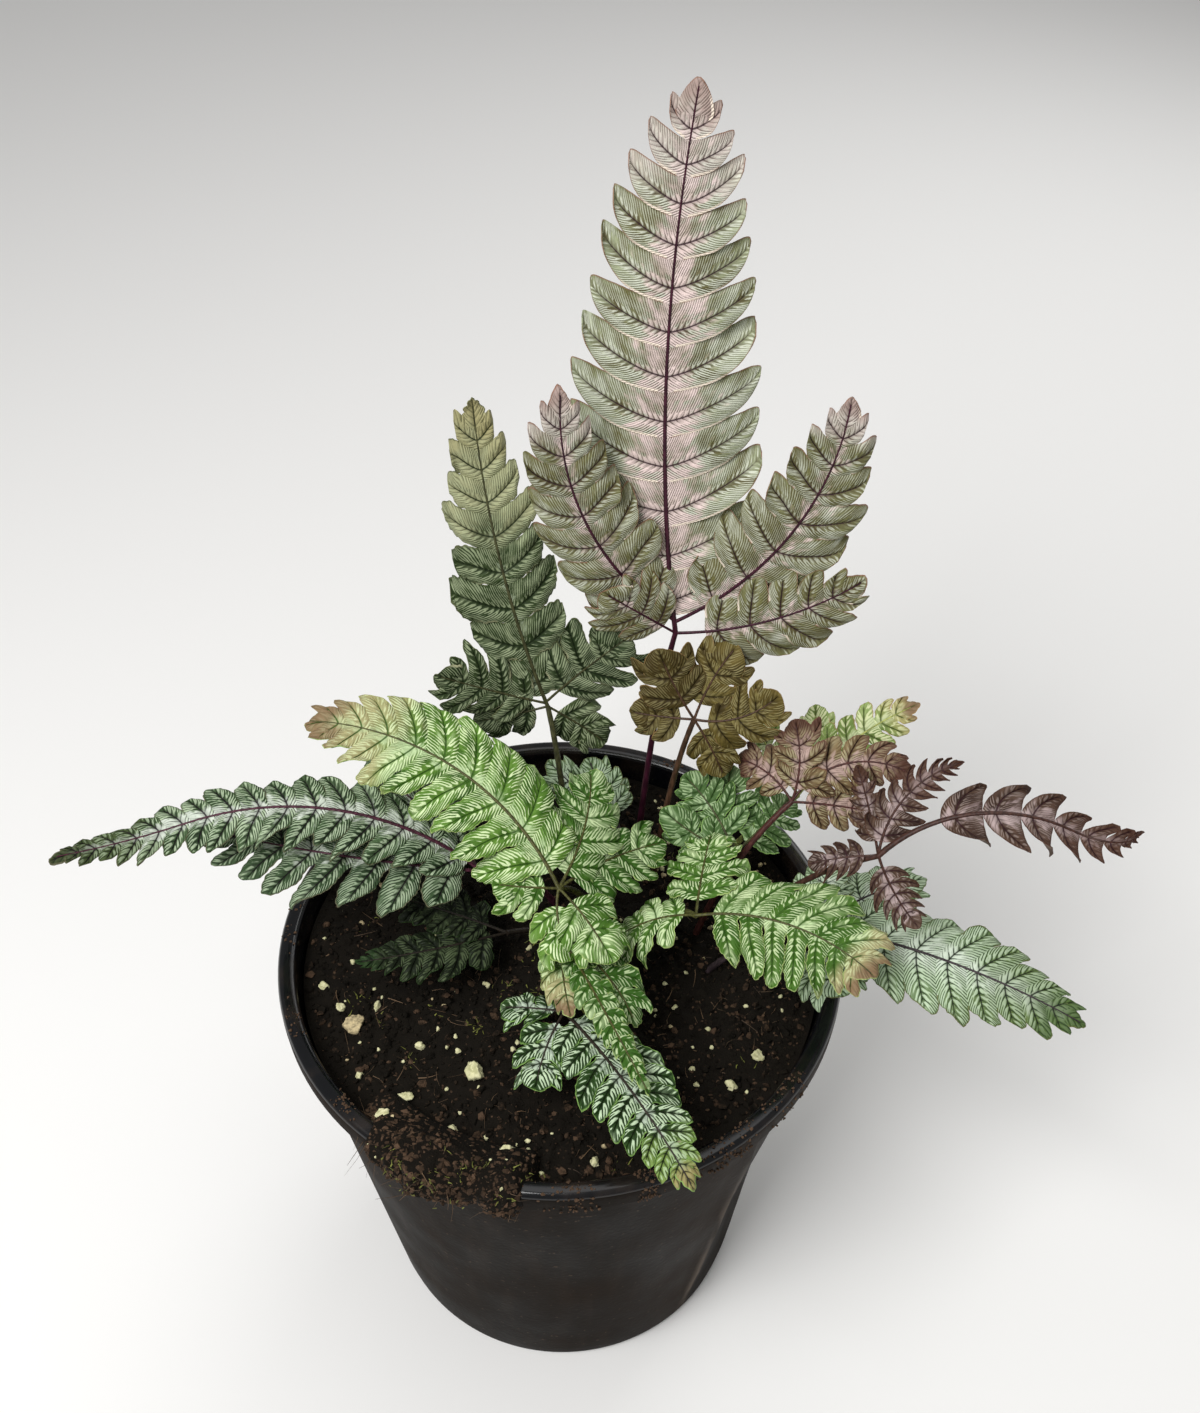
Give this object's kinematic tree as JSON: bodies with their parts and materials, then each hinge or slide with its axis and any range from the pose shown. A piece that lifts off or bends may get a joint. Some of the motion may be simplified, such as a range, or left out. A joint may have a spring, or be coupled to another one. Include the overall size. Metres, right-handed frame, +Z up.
{
  "type": "potted candy striped brake fern",
  "caption": "Striped brake fern in a black nursery pot, with lobed fronds of cut leaflets on thin stalks that stand in the potting soil, which spills over the lip.",
  "frame": {"origin": "centre of the pot's flat underside", "axes": "+Z up; the front of the plant, as pictured, is towards -Y and its long left frond reaches towards -X"},
  "size_m": [0.2944, 0.1765, 0.3802],
  "materials": {
    "pot_plastic": "satin",
    "potting_soil": "matte",
    "leaf_silver_pink": "satin",
    "leaf_dark_green": "satin",
    "leaf_olive_bronze": "satin",
    "leaf_bright_green": "satin",
    "leaf_grey_green": "satin",
    "leaf_mid_green": "satin",
    "leaf_purple_bronze": "satin",
    "leaf_mint_silver": "satin"
  },
  "bodies": {
    "root": {"pot": "pot_plastic", "soil": "potting_soil", "frond_tall_centre": "leaf_silver_pink", "frond_left_upright": "leaf_dark_green", "frond_olive": "leaf_olive_bronze", "frond_bright_left": "leaf_bright_green", "frond_long_left": "leaf_grey_green", "frond_bright_right": "leaf_bright_green", "frond_middle": "leaf_mid_green", "frond_small_back": "leaf_mint_silver", "frond_bronze": "leaf_purple_bronze", "frond_back_right": "leaf_bright_green", "frond_young_purple": "leaf_purple_bronze", "frond_mint_right": "leaf_mint_silver", "frond_front": "leaf_mid_green", "frond_front_bright": "leaf_bright_green", "frond_low_left": "leaf_dark_green"}
  },
  "joints": []
}
